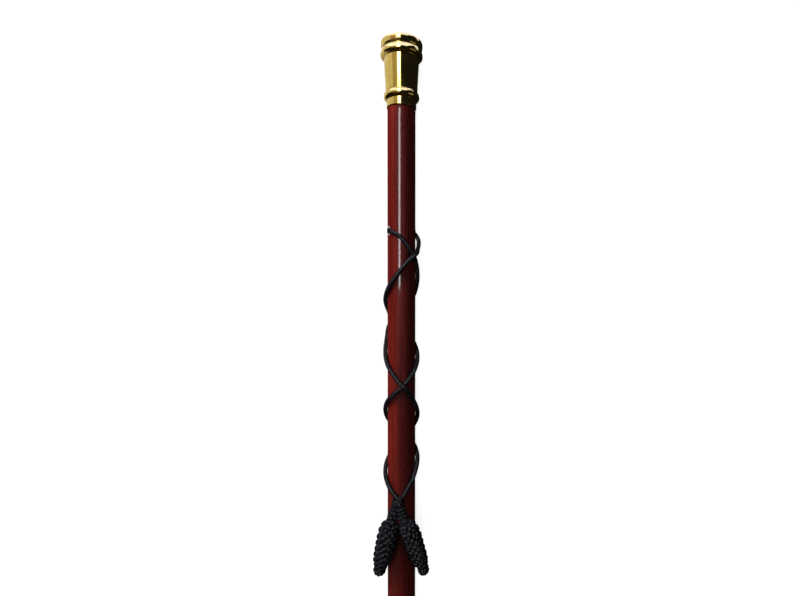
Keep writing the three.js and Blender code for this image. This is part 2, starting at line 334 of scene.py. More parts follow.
# the fine filaments that a yarn is thrown from, which lean round it as it is twisted
filaments, given, made = effect_group(
    "yarn_filaments",
    [("Vector", "NodeSocketVector"), ("Pitch", "NodeSocketFloat"), ("Filaments", "NodeSocketFloat")],
    ["Lines", "Wear"])
place = add_node(filaments, "ShaderNodeSeparateXYZ", {0: given["Vector"]}).outputs
lean = calc(filaments, "ADD", place["X"], calc(filaments, "DIVIDE", place["Y"], given["Pitch"]))
ridges = calc(filaments, "MULTIPLY", given["Filaments"], 2 * math.pi)
ridge = calc(filaments, "SINE", calc(filaments, "MULTIPLY", lean, ridges))
object_place = filaments.nodes.new("ShaderNodeTexCoord").outputs["Object"]
fuzz = noise(filaments, object_place, 0.0007, detail=3)
# Lines is high on the filaments' ridges and low between them: it shapes the bump and also paints shade
# between the filaments
filaments.links.new(calc(filaments, "ADD", rescale(filaments, ridge, -1, 1, 0, 0.7),
                         calc(filaments, "MULTIPLY", fuzz, 0.3)), made.inputs["Lines"])
worn = noise(filaments, object_place, 0.006, detail=4, roughness=0.65)
filaments.links.new(rescale(filaments, worn, 0.4, 0.72), made.inputs["Wear"])

CORD_FILAMENTS = 26
# painted light on the yarn: the shaded tone between the filaments and the lit tone on their ridges; the
# worn tone is real rubbing
YARN_PAINTED_SHADE = (0.002, 0.002, 0.004, 1)
YARN_LIT = (0.004, 0.004, 0.011, 1)
YARN_WORN = (0.012, 0.012, 0.024, 1)


def yarn_finish(tree, shader, lines, wear):
    """Dyed yarn: painted shade makes it near black between the filaments, the ridges take the lit tone,
    and it is greyer where it is rubbed.
    """
    colour = colour_blend(tree, lines, YARN_PAINTED_SHADE, YARN_LIT)
    colour = colour_blend(tree, calc(tree, "MULTIPLY", wear, 0.7), colour, YARN_WORN)
    tree.links.new(colour, shader.inputs["Base Color"])
    tree.links.new(rescale(tree, wear, 0, 1, 0.34, 0.55), shader.inputs["Roughness"])
    bump = add_node(tree, "ShaderNodeBump", {"Strength": 0.6, "Distance": 0.00012, "Height": lines})
    tree.links.new(bump.outputs[0], shader.inputs["Normal"])


# on the cord the filaments follow whichever of the two sets of carriers is uppermost
cord_yarn, tree, shader = finish_material(
    "braided_cord", Sheen_Weight=0.04, Sheen_Roughness=0.35, Specular_IOR_Level=0.5)
unrolled_place = tree.nodes.new("ShaderNodeUVMap").outputs[0]
round_turns, along_mm, _ = add_node(tree, "ShaderNodeSeparateXYZ", {0: unrolled_place}).outputs
sets = []
for pitch in (CORD_BRAID_PITCH, -CORD_BRAID_PITCH):
    lines = add_node(tree, "ShaderNodeGroup", node_tree=filaments)
    tree.links.new(unrolled_place, lines.inputs["Vector"])
    lines.inputs["Pitch"].default_value = pitch
    lines.inputs["Filaments"].default_value = CORD_FILAMENTS
    lean = calc(tree, "ADD", round_turns, calc(tree, "DIVIDE", along_mm, pitch))
    carrier = calc(tree, "COSINE", calc(tree, "MULTIPLY", lean, CORD_CARRIERS * math.pi))
    sets.append((lines, carrier))
(right_lines, right), (left_lines, left) = sets
right_is_up = calc(tree, "GREATER_THAN", right, left)
one_set = calc(tree, "MULTIPLY", right_is_up, right_lines.outputs["Lines"])
other_set = calc(tree, "MULTIPLY", calc(tree, "SUBTRACT", 1, right_is_up), left_lines.outputs["Lines"])
# painted shade: in the gaps between carriers the lines are pulled down, which darkens the yarn's colour
# there and makes its bump shallower
shade_and_dip_between_carriers = rescale(tree, calc(tree, "MAXIMUM", right, left), -0.1, 0.6, 0.25, 1)
lines = calc(tree, "MULTIPLY", calc(tree, "ADD", one_set, other_set), shade_and_dip_between_carriers)
yarn_finish(tree, shader, lines, right_lines.outputs["Wear"])

# the route is smoothed as if it were unrolled onto a flat sheet, bedded into the wood, and
# lifted where it passes over itself
unrolled = np.array(CORD_ROUTE, float) * (math.radians(1) * ROUTE_RADIUS, 1, 1)
unrolled = smooth_line(unrolled, 60)
bedding = np.interp(np.abs(unrolled[:, 2]), BEDS_BETWEEN, (0, CORD_BEDS_IN))
unrolled[:, 2] -= np.sign(unrolled[:, 2]) * bedding
cord_turn = np.degrees(unrolled[:, 0] / ROUTE_RADIUS)
rise = sum(OVER_LIFT * np.exp(-(((cord_turn - at) / OVER_SPREAD) ** 2)) for at in PASSES_OVER)
cord_out = unrolled[:, 2] + np.sign(unrolled[:, 2]) * rise
cord_line = evenly(around_staff(cord_turn, unrolled[:, 1], cord_out), CORD_STEP)
cord = tube("black_cord", cord_line, CORD_RADIUS, CORD_SIDES, cord_yarn, relief=braid_relief,
            pressed=True)
cord_path = lay_down(press_flat(evenly(cord_line, 2 * CORD_RADIUS)))
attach(cord, "root")
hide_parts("cord")


# --- Brass head -----------------------------------------------------------------------
# Turned from brass and polished: two full rings at the mouth with a groove between, a
# drum that narrows downwards, one more ring and a short collar over the wood.
TURNED_FACETS = 192
DRUM_TOP = 14.0
DRUM_FOOT = HEAD_LENGTH - 11
COLLAR_TOP = HEAD_LENGTH - 5.6
COLLAR_RADIUS = 10.35
COLLAR_RING_RADIUS = 12.5
CROWN_RADIUS = 12.7
CROWN_RISE = 1.65
HEAD_SOCKET_RADIUS = 8.8
HEAD_SOCKET_DEPTH = 20
BEAD_STEPS = 26
STRAIGHT_STEPS = 6
CROWN_STEPS = 12


def bead(low, high, widest, crest=0.5):
    """A moulding between two (radius, down) points, swelling to a radius at its crest."""
    angle = (np.arange(BEAD_STEPS + 1) / BEAD_STEPS - 0.5) * np.pi
    share = crest + np.sin(angle) * np.where(angle < 0, crest, 1 - crest)
    ground = low[0] + (high[0] - low[0]) * share
    radius = ground + (widest - ground) * np.cos(angle)
    return list(zip(radius, low[1] + (high[1] - low[1]) * share))


def straight(low, high):
    """A straight stretch of profile, with points close to its ends for a crisp edge."""
    share = np.array([0, 0.02, *np.linspace(0.1, 0.9, STRAIGHT_STEPS), 0.98, 1])[:, None]
    return [tuple(p) for p in np.array(low) + (np.array(high) - low) * share]


def turned(name, profile, material, facets=TURNED_FACETS):
    """A turned piece from (radius, down) points that run up from one end of the axis to
    the other, with its underside level where the surface meets it."""
    profile = np.array(profile, float)
    ring = np.linspace(0, 360, facets, endpoint=False)
    middle = profile[1:-1]
    rows = [around_staff(ring, down, r) for r, down in middle]
    points = np.vstack([*rows, [(0, -profile[0][1], 0)], [(0, -profile[-1][1], 0)]])
    faces = []
    for r in range(len(middle) - 1):
        for s in range(facets):
            n = (s + 1) % facets
            low, high = r * facets, (r + 1) * facets
            faces.append((low + s, low + n, high + n, high + s))
    last = (len(middle) - 1) * facets
    foot = len(points) - 2
    faces += [(s, foot, (s + 1) % facets) for s in range(facets)]
    faces += [(last + s, last + (s + 1) % facets, foot + 1) for s in range(facets)]
    placed = lay_down(points)
    placed[:, 2] = np.maximum(placed[:, 2], 0)
    return mesh_piece(name, placed, faces, material)


# finger marks and fine scratches on anything polished
handling, given, made = effect_group(
    "handling_marks", [("Vector", "NodeSocketVector"), ("Size", "NodeSocketFloat")],
    ["Smudge", "Scratches"])
scaled = add_node(handling, "ShaderNodeVectorMath", {0: given["Vector"]}, operation="SCALE")
handling.links.new(calc(handling, "DIVIDE", 1, given["Size"]), scaled.inputs["Scale"])
cloudy = noise(handling, scaled.outputs[0], 1.0, detail=5, roughness=0.62)
handling.links.new(rescale(handling, cloudy, 0.42, 0.68), made.inputs["Smudge"])
scratch_place = add_node(
    handling, "ShaderNodeMapping",
    {0: scaled.outputs[0], "Rotation": (0.3, 0.5, 0.9), "Scale": (40, 1.4, 40)})
hairline = noise(handling, scratch_place.outputs[0], 1.0, detail=1)
handling.links.new(rescale(handling, hairline, 0.66, 0.72), made.inputs["Scratches"])


def handled(tree, size):
    """Object coordinates, and the marks that handling leaves, of a size in metres."""
    place = tree.nodes.new("ShaderNodeTexCoord").outputs["Object"]
    marks = add_node(tree, "ShaderNodeGroup", node_tree=handling)
    tree.links.new(place, marks.inputs["Vector"])
    marks.inputs["Size"].default_value = size
    return place, marks.outputs["Smudge"], marks.outputs["Scratches"]


def bumped(tree, shader, height, strength, distance):
    """Gives the shader fine relief, its full height a distance in metres."""
    inputs = {"Strength": strength, "Distance": distance, "Height": height}
    bump = add_node(tree, "ShaderNodeBump", inputs)
    tree.links.new(bump.outputs[0], shader.inputs["Normal"])


# measured down from the crown: where polish does not reach, and tarnish stays
GROOVES = (8.5, DRUM_TOP, DRUM_FOOT, COLLAR_TOP, HEAD_LENGTH, LENGTH - FERRULE_LENGTH + 5)
GROOVE_REACH = 0.9
TOOL_SPACING = 0.00035
BRASS_BRIGHT = (0.84, 0.62, 0.17, 1)
BRASS_HANDLED = (0.74, 0.52, 0.13, 1)
BRASS_TARNISH = (0.2, 0.115, 0.035, 1)

brass, tree, shader = finish_material("polished_brass", Metallic=1.0)
place, smudge, scratches = handled(tree, 0.011)
lengthwise = add_node(tree, "ShaderNodeSeparateXYZ", {0: place}).outputs["Y"]
tarnish = 0.0
for groove in GROOVES:
    away = calc(tree, "ABSOLUTE", calc(tree, "SUBTRACT", lengthwise, crown.y - groove * MM))
    tarnish = calc(tree, "MAXIMUM", tarnish, rescale(tree, away, 0, GROOVE_REACH * MM, 1, 0))
patches = rescale(tree, noise(tree, place, 0.002), 0.3, 0.6, 0.35, 1)
patchy = calc(tree, "MULTIPLY", tarnish, patches)
gold = colour_blend(tree, smudge, BRASS_BRIGHT, BRASS_HANDLED)
gold = colour_blend(tree, calc(tree, "MULTIPLY", patchy, 0.75), gold, BRASS_TARNISH)
tree.links.new(gold, shader.inputs["Base Color"])
dulled = rescale(tree, smudge, 0, 1, 0.075, 0.15)
dulled = calc(tree, "ADD", dulled, calc(tree, "MULTIPLY", patchy, 0.25))
tree.links.new(dulled, shader.inputs["Roughness"])
tool_place = add_node(tree, "ShaderNodeMapping", {0: place, "Scale": (1, 1 / TOOL_SPACING, 1)})
tool_lines = noise(tree, tool_place.outputs[0], 1.0, detail=1.0)
relief = calc(tree, "ADD", tool_lines, calc(tree, "MULTIPLY", scratches, -0.6))
bumped(tree, shader, relief, 0.25, 0.00001)

socket_top = HEAD_LENGTH - HEAD_SOCKET_DEPTH
head_profile = [
    (0, socket_top), (HEAD_SOCKET_RADIUS, socket_top), (HEAD_SOCKET_RADIUS, HEAD_LENGTH),
    (COLLAR_RADIUS - 0.25, HEAD_LENGTH),
    *straight((COLLAR_RADIUS, HEAD_LENGTH - 0.25), (COLLAR_RADIUS, COLLAR_TOP + 0.25)),
    *bead((10.55, COLLAR_TOP), (11.15, DRUM_FOOT + 0.2), COLLAR_RING_RADIUS, crest=0.44),
    *straight((11.1, DRUM_FOOT), (12.35, DRUM_TOP + 0.25)),
    *bead((12.5, DRUM_TOP), (13.95, 8.7), HEAD_RING_RADIUS, crest=0.38),
    *bead((13.95, 8.3), (12.9, 1.8), HEAD_RING_RADIUS, crest=0.58),
    *[(CROWN_RADIUS * (1 - t), CROWN_RISE * (1 - t) ** 2)
      for t in np.linspace(0, 0.97, CROWN_STEPS)],
    (0, 0),
]
head = turned("brass_head", head_profile, brass)
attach(head, "root")
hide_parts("head")


# --- Shaft ----------------------------------------------------------------------------
# One straight tapered round of hardwood, stained red and lacquered to a gloss. Both ends
# are turned down to fit the sockets of the head and the ferrule.
SHOULDER_DOWN = HEAD_LENGTH + 0.35
TENON_RADIUS = 8.4
HEAD_TENON = 3  # only the start of each hidden end is made here: the real ones fill the sockets
FOOT_TENON = 5
HOLE_RADIUS = 2.72
HOLE_SIDES = 48
SHAFT_FACETS = 160
DRILL_REACH = 15
STAIN_DARK = (0.125, 0.0085, 0.0065, 1)
STAIN_LIGHT = (0.235, 0.0205, 0.0125, 1)
STAIN_FIBRE = (0.085, 0.005, 0.005, 1)
STAIN_PORE = (0.018, 0.0018, 0.0018, 1)

lacquer, tree, shader = finish_material(
    "lacquered_wood", Roughness=0.5, Specular_IOR_Level=0.1, Coat_Roughness=0.065, Coat_IOR=1.5)
place, smudge, scratches = handled(tree, 0.02)


def along_grain(tree, place, across, along, detail=2.0, roughness=0.5):
    """Noise drawn out along the staff: sizes across and along the grain, in metres."""
    scale = (1 / across, 1 / along, 1 / across)
    drawn = add_node(tree, "ShaderNodeMapping", {0: place, "Scale": scale})
    return noise(tree, drawn.outputs[0], 1.0, detail, roughness)


figure = rescale(tree, along_grain(tree, place, 0.006, 0.16, detail=3), 0.36, 0.64)
fibre = rescale(tree, along_grain(tree, place, 0.0011, 0.035, detail=3, roughness=0.6), 0.35, 0.65)
pores = rescale(tree, along_grain(tree, place, 0.00038, 0.0042, detail=1), 0.6, 0.68)
stain = colour_blend(tree, figure, STAIN_DARK, STAIN_LIGHT)
stain = colour_blend(tree, calc(tree, "MULTIPLY", fibre, 0.5), stain, STAIN_FIBRE)
stain = colour_blend(tree, calc(tree, "MULTIPLY", pores, 0.75), stain, STAIN_PORE)
tree.links.new(stain, shader.inputs["Base Color"])
tree.links.new(rescale(tree, smudge, 0, 1, 0.62, 0.5), shader.inputs["Coat Weight"])
relief = calc(tree, "ADD", calc(tree, "MULTIPLY", pores, -1), calc(tree, "MULTIPLY", fibre, 0.3))
relief = calc(tree, "SUBTRACT", relief, calc(tree, "MULTIPLY", scratches, 0.3))
bumped(tree, shader, relief, 0.3, 0.00002)

shaft_foot = LENGTH - FERRULE_LENGTH
shaft_rows = [*np.linspace(shaft_foot + 0.1, HOLE_DOWN + 7, 40),
              *np.linspace(HOLE_DOWN + 6, HOLE_DOWN - 6, 25),
              *np.linspace(HOLE_DOWN - 7, SHOULDER_DOWN + 0.5, 10)]
shaft_profile = [
    (0, shaft_foot + FOOT_TENON), (TENON_RADIUS, shaft_foot + FOOT_TENON),
    (TENON_RADIUS, shaft_foot + 0.1),
    *[(shaft_radius(d), d) for d in shaft_rows],
    (SHAFT_TOP_RADIUS - 0.12, SHOULDER_DOWN + 0.15), (SHAFT_TOP_RADIUS - 0.5, SHOULDER_DOWN),
    (TENON_RADIUS, SHOULDER_DOWN), (TENON_RADIUS, SHOULDER_DOWN - HEAD_TENON),
    (0, SHOULDER_DOWN - HEAD_TENON),
]
shaft = turned("wooden_shaft", shaft_profile, lacquer, SHAFT_FACETS)

# the cross hole is drilled right through, and lined by the eyelets at its two mouths
hole_axis = np.linspace(-DRILL_REACH, DRILL_REACH, 5)
drill = tube("drill", around_staff(HOLE_TURN, HOLE_DOWN, hole_axis), HOLE_RADIUS, HOLE_SIDES, lacquer)
drilled = shaft.modifiers.new("cross_hole", "BOOLEAN")
drilled.object = drill
drilled.solver = "EXACT"
depsgraph = bpy.context.evaluated_depsgraph_get()
bored = bpy.data.meshes.new_from_object(shaft.evaluated_get(depsgraph), depsgraph=depsgraph)
shaft.modifiers.remove(drilled)
shaft.data = bored
bored.shade_smooth()
bored.set_sharp_from_angle(angle=math.radians(35))
bpy.data.objects.remove(drill)
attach(shaft, "root")
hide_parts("shaft")


# --- Ferrule --------------------------------------------------------------------------
# A plain turned brass cup that shoes the foot of the shaft, with one ring at its mouth.
# It is pushed onto the turned-down end of the wood.
TIP_RADIUS = 9
TIP_ROUND = 1.2
FERRULE_SOCKET_RADIUS = 8.7
FERRULE_SOCKET_DEPTH = 10

ferrule_top = LENGTH - FERRULE_LENGTH
ferrule_profile = [
    (0, LENGTH), (7.6, LENGTH),
    *[(TIP_RADIUS - TIP_ROUND + TIP_ROUND * math.sin(a), LENGTH - TIP_ROUND + TIP_ROUND * math.cos(a))
      for a in np.linspace(0.15, math.pi / 2, 8)],
    *straight((TIP_RADIUS, LENGTH - 1.5), (9.7, ferrule_top + 5)),
    *bead((9.75, ferrule_top + 4.6), (9.75, ferrule_top + 0.4), FERRULE_RING_RADIUS),
    (9.5, ferrule_top), (FERRULE_SOCKET_RADIUS, ferrule_top),
    (FERRULE_SOCKET_RADIUS, ferrule_top + FERRULE_SOCKET_DEPTH),
    (0, ferrule_top + FERRULE_SOCKET_DEPTH),
]
ferrule = turned("brass_ferrule", ferrule_profile, brass)
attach(ferrule, "root")
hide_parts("ferrule")


# --- Eyelets --------------------------------------------------------------------------
# Pressed nickel-plated eyelets line the two mouths of the cross hole, their flanges
# bent down onto the round of the shaft.
EYELET_BORE = 2.3
EYELET_BARREL = 2.7
EYELET_FLANGE = 3.15
EYELET_DEPTH = 5.2
EYELET_FACETS = 64
LIP_ROUND = 0.5
RIM_ROUND = 0.25
NICKEL_BRIGHT = (0.66, 0.64, 0.6, 1)
NICKEL_DULL = (0.5, 0.47, 0.43, 1)

nickel, tree, shader = finish_material("nickel_plate", Metallic=1.0)
place, smudge, scratches = handled(tree, 0.003)
plate = colour_blend(tree, smudge, NICKEL_BRIGHT, NICKEL_DULL)
tree.links.new(plate, shader.inputs["Base Color"])
tree.links.new(rescale(tree, smudge, 0, 1, 0.13, 0.3), shader.inputs["Roughness"])
bumped(tree, shader, calc(tree, "MULTIPLY", scratches, -1), 0.3, 0.00001)


def eyelet(name, node, turn):
    """An eyelet at one mouth of the cross hole, its flange following the round shaft."""
    wood = shaft_radius(HOLE_DOWN)
    facets = EYELET_FACETS
    lip = [(EYELET_BORE + LIP_ROUND - LIP_ROUND * math.cos(a), 0.1 + 0.38 * math.sin(a))
           for a in np.linspace(0, math.pi / 2, 7)]
    rim = [(EYELET_FLANGE - RIM_ROUND + RIM_ROUND * math.sin(a), 0.18 + 0.3 * math.cos(a))
           for a in np.linspace(0.1, math.pi / 2, 6)]
    profile = [(EYELET_BORE, -EYELET_DEPTH), *lip, *rim, (EYELET_FLANGE, 0.02),
               (EYELET_BARREL, 0.0), (EYELET_BARREL, -EYELET_DEPTH)]
    angle = np.linspace(0, 2 * np.pi, facets, endpoint=False)
    points = []
    for radius, height in profile:
        across, along = radius * np.cos(angle), radius * np.sin(angle)
        saddle = wood - np.sqrt(wood ** 2 - across ** 2) if height > -1 else 0 * across
        points.append(np.stack([across, -HOLE_DOWN + along, wood + height - saddle], -1))
    points = np.vstack(points)
    faces = []
    rows = len(profile)
    for r in range(rows):
        for s in range(facets):
            n, m = (s + 1) % facets, (r + 1) % rows
            faces.append((m * facets + s, m * facets + n, r * facets + n, r * facets + s))
    spin = np.array(Matrix.Rotation(math.radians(turn), 3, "Y"))
    ring = mesh_piece(name, lay_down(points @ spin.T), faces, nickel)
    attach(ring, "root")
    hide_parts(node)
    return ring


eyelet_left = eyelet("left_eyelet", "eyelet_left", HOLE_TURN)
eyelet_right = eyelet("right_eyelet", "eyelet_right", HOLE_TURN + 180)


# --- Knot -----------------------------------------------------------------------------
# Three tight wraps of finer black yarn seize the two strands together on the front,
# over the tops of the tassels' necks.
KNOT_DOWN = 319.4
KNOT_LENGTH = 5.2
KNOT_ACROSS = 4.1
KNOT_UP = 3.9
KNOT_SIDE = -0.7
KNOT_TILT = 0.12
KNOT_CLEAR = 0.3
WRAPS = 3
WRAP_FULLNESS = 1.1  # neighbouring wraps press into each other
WRAP_SIDES = 16
WRAP_STEP = 0.3
WRAP_RELIEF = 0.8  # of the cord's own
wrap_radius = KNOT_LENGTH / WRAPS / 2
wrap_turns = np.linspace(0, WRAPS * 2 * np.pi, WRAPS * 40)
wrap_across = (KNOT_ACROSS - wrap_radius) * np.sin(wrap_turns)
wrap_step = (KNOT_LENGTH - 2 * wrap_radius) * (0.5 - wrap_turns / wrap_turns[-1])
wrap_along = -KNOT_DOWN + wrap_step + KNOT_TILT * wrap_across
knot_axis = shaft_radius(KNOT_DOWN) + KNOT_CLEAR + KNOT_UP
wrap_up = knot_axis + (KNOT_UP - wrap_radius) * np.cos(wrap_turns)
knot_line = np.stack([KNOT_SIDE + wrap_across, wrap_along, wrap_up], -1)
knot = tube("seizing_knot", evenly(knot_line, WRAP_STEP), wrap_radius * WRAP_FULLNESS, WRAP_SIDES,
            cord_yarn, relief=lambda angle, along: WRAP_RELIEF * braid_relief(angle, along))
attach(knot, "root")
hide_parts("knot")


# --- Tassels --------------------------------------------------------------------------
# Two acorn-shaped tassels: each has a soft core covered by a plait of sixteen strands,
# eight each way, worked from the neck down and gathered over a small end knob.
TASSEL_LINES = {
    "left": [(-2.1, 320.2, 12.6), (-2.7, 322.8, 13.6), (-3.6, 326.6, 14.9), (-4.6, 331, 16),
             (-7.1, 339.7, 15.6), (-10.2, 353.7, 12.5), (-12.8, 363.2, 9.4), (-15, 372.3, 6.3)],
    "right": [(0.4, 320.2, 12.6), (0.8, 322.8, 13.6), (1.6, 326.6, 14.9), (3.3, 331, 16.1),
              (8.1, 340.2, 15.4), (11.9, 353.7, 12.2), (14.5, 362.1, 9.8), (17, 372.1, 6.8)],
}
TASSEL_NECK = 13.5
TASSEL_BODY = 42.5
STRANDS_EACH_WAY = 8
STRAND_PITCH = 9
STRAND_FILAMENTS = 22
STRAND_SIDES = 12
CORE_SIDES = 24
CORE_SINK = 1.25  # strand thicknesses that the core's surface lies below the plait's
OVER_SWELL = 0.05  # of a strand's width, added to its radius going over and taken off under
TASSEL_SLIM = {"left": 1.0, "right": 0.91}  # of the plain radius, from the lower belly down
SLIMS_BETWEEN = (0.3 * TASSEL_BODY, 0.75 * TASSEL_BODY)  # along from the top of the neck
NECK_PROFILE = [(0, 2.6), (0.4, 3.4), (0.9, 3.7)]  # share of the neck's length, radius
# share of the body's length, radius: shoulder, belly, waist and end knob
TASSEL_PROFILE = [
    (0, 4.2), (0.03, 5.6), (0.08, 6.5), (0.16, 7.0), (0.3, 7.1), (0.45, 7.0), (0.6, 6.7),
    (0.7, 6.2), (0.77, 5.5), (0.81, 4.4), (0.84, 4.05), (0.875, 4.5), (0.92, 4.6), (0.96, 3.9),
    (0.985, 2.8), (1, 1.6),
]


def plait_tree():
    """A tree that lays a round plait over a line whose points carry the plait's radius."""
    tree = bpy.data.node_groups.new("worked_plait", "GeometryNodeTree")
    tree.interface.new_socket("Plait", in_out="OUTPUT", socket_type="NodeSocketGeometry")
    for name, kind in (("Centre Line", "Geometry"), ("Strands Each Way", "Int"), ("Samples", "Int"),
                       ("Twist", "Float"), ("Flatness", "Float"), ("Weave", "Float"),
                       ("Yarn", "Material")):
        tree.interface.new_socket(name, in_out="INPUT", socket_type=f"NodeSocket{kind}")
    given = tree.nodes.new("NodeGroupInput").outputs

    def sized(operation, *values):
        return calc(tree, operation, *values)

    def vector(operation, first, second, key=1):
        node = add_node(tree, "ShaderNodeVectorMath", {0: first, key: second}, operation=operation)
        return node.outputs["Vector"]

    centre = add_node(tree, "GeometryNodeMeshToCurve", {"Mesh": given["Centre Line"]})
    spaced = add_node(tree, "GeometryNodeResampleCurve",
                      {"Curve": centre.outputs[0], "Count": given["Samples"]}, mode="COUNT")
    radius = add_node(tree, "GeometryNodeInputNamedAttribute", {"Name": "plait_radius"},
                      data_type="FLOAT").outputs[0]
    twist_here = sized("MULTIPLY", given["Twist"], radius)
    slant = sized("SQRT", sized("ADD", 1, sized("MULTIPLY", twist_here, twist_here)))
    room = sized("DIVIDE", sized("MULTIPLY", radius, 2 * math.pi), given["Strands Each Way"])
    width = sized("DIVIDE", room, slant)
    thickness = sized("MULTIPLY", width, given["Flatness"])

    both_ways = sized("MULTIPLY", given["Strands Each Way"], 2)
    copies = add_node(tree, "GeometryNodeDuplicateElements",
                      {"Geometry": spaced.outputs[0], "Amount": both_ways}, domain="SPLINE")
    index = copies.outputs["Duplicate Index"]
    way = sized("SUBTRACT", 1, sized("MULTIPLY", sized("MODULO", index, 2), 2))
    pair = sized("FLOOR", sized("DIVIDE", index, 2))
    start = sized("DIVIDE", sized("MULTIPLY", pair, 2 * math.pi), given["Strands Each Way"])
    along = tree.nodes.new("GeometryNodeSplineParameter").outputs["Length"]
    swing = sized("MULTIPLY", along, given["Twist"])  # a strand's turn round the centre line
    angle = sized("ADD", sized("MULTIPLY", way, swing), start)
    passes = sized("COSINE", sized("MULTIPLY", swing, given["Strands Each Way"]))
    over = sized("MULTIPLY", way, passes)
    depth = sized("MULTIPLY", thickness, given["Weave"])
    lift = sized("MULTIPLY", depth, sized("SUBTRACT", over, 1))
    reach = sized("ADD", sized("SUBTRACT", radius, sized("MULTIPLY", thickness, 0.5)), lift)
    normal = tree.nodes.new("GeometryNodeInputNormal").outputs[0]
    tangent = tree.nodes.new("GeometryNodeInputTangent").outputs[0]
    across = vector("CROSS_PRODUCT", tangent, normal)
    outward = vector("ADD", vector("SCALE", normal, sized("COSINE", angle), "Scale"),
                     vector("SCALE", across, sized("SINE", angle), "Scale"))

    def captured(geometry, **values):
        """Keeps values as they are on this geometry, for nodes further on."""
        node = tree.nodes.new("GeometryNodeCaptureAttribute")
        for name, value in values.items():
            node.capture_items.new("VECTOR" if value.type == "VECTOR" else "FLOAT", name)
            tree.links.new(value, node.inputs[name])
        tree.links.new(geometry, node.inputs["Geometry"])
        return node.outputs

    def spline_measure(socket):
        return tree.nodes.new("GeometryNodeSplineParameter").outputs[socket]

    def circle(points):
        inputs = {"Resolution": points, "Radius": 1.0}
        return add_node(tree, "GeometryNodeCurvePrimitiveCircle", inputs).outputs[0]

    def swept(curve, section, size):
        inputs = {"Curve": curve, "Profile Curve": section, "Scale": size, "Fill Caps": True}
        return add_node(tree, "GeometryNodeCurveToMesh", inputs).outputs[0]

    # each strand is moved out from the centre line, and its flat side turned outwards
    kept = captured(copies.outputs["Geometry"], Outward=outward, Width=width, Over=over)
    offset = vector("SCALE", outward, reach, "Scale")
    moved = add_node(tree, "GeometryNodeSetPosition", {"Geometry": kept["Geometry"], "Offset": offset})
    facing = add_node(tree, "GeometryNodeSetCurveNormal",
                      {"Curve": moved.outputs[0], "Normal": kept["Outward"]}, mode="FREE")
    strand = captured(facing.outputs[0], Along=spline_measure("Length"))

    flat = add_node(tree, "ShaderNodeCombineXYZ", {0: given["Flatness"], 1: 1.0, 2: 1.0})
    section = add_node(tree, "GeometryNodeTransform",
                       {"Geometry": circle(STRAND_SIDES), "Scale": flat.outputs[0]})
    section = captured(section.outputs[0], Round=spline_measure("Factor"))
    half = sized("ADD", 0.5, sized("MULTIPLY", kept["Over"], OVER_SWELL))
    strands = swept(strand["Geometry"], section["Geometry"], sized("MULTIPLY", kept["Width"], half))
    place = add_node(tree, "ShaderNodeCombineXYZ",
                     {0: section["Round"], 1: sized("MULTIPLY", strand["Along"], 1000)})
    unrolled = add_node(tree, "GeometryNodeStoreNamedAttribute",
                        {"Geometry": strands, "Name": "UVMap", "Value": place.outputs[0]},
                        data_type="FLOAT2", domain="CORNER")

    core_radius = sized("SUBTRACT", radius, sized("MULTIPLY", thickness, CORE_SINK))
    core = swept(spaced.outputs[0], circle(CORE_SIDES), core_radius)
    whole = tree.nodes.new("GeometryNodeJoinGeometry")
    tree.links.new(core, whole.inputs[0])
    tree.links.new(unrolled.outputs[0], whole.inputs[0])
    smooth = add_node(tree, "GeometryNodeSetShadeSmooth", {"Geometry": whole.outputs[0]})
    real = add_node(tree, "GeometryNodeRealizeInstances", {"Geometry": smooth.outputs[0]})
    dyed = add_node(tree, "GeometryNodeSetMaterial",
                    {"Geometry": real.outputs[0], "Material": given["Yarn"]})
    tree.links.new(dyed.outputs[0], tree.nodes.new("NodeGroupOutput").inputs[0])
    return tree


def grown(name, tree, start, **inputs):
    """The plain mesh piece that a geometry node tree makes from a start mesh."""
    piece = bpy.data.objects.new(name, start)
    bpy.context.scene.collection.objects.link(piece)
    modifier = piece.modifiers.new("grown", "NODES")
    modifier.node_group = tree
    for item in tree.interface.items_tree:
        key = item.name.replace(" ", "_")
        if item.in_out == "INPUT" and key in inputs:
            modifier[item.identifier] = inputs[key]
    depsgraph = bpy.context.evaluated_depsgraph_get()
    mesh = bpy.data.meshes.new_from_object(piece.evaluated_get(depsgraph), depsgraph=depsgraph,
                                           preserve_all_data_layers=True)
    piece.modifiers.remove(modifier)
    piece.data = mesh
    return piece


plait_yarn, tree, shader = finish_material(
    "plaited_yarn", Sheen_Weight=0.04, Sheen_Roughness=0.35, Specular_IOR_Level=0.48)
lines = add_node(tree, "ShaderNodeGroup", node_tree=filaments)
tree.links.new(tree.nodes.new("ShaderNodeUVMap").outputs[0], lines.inputs["Vector"])
lines.inputs["Pitch"].default_value = STRAND_PITCH
lines.inputs["Filaments"].default_value = STRAND_FILAMENTS
yarn_finish(tree, shader, lines.outputs["Lines"], lines.outputs["Wear"])

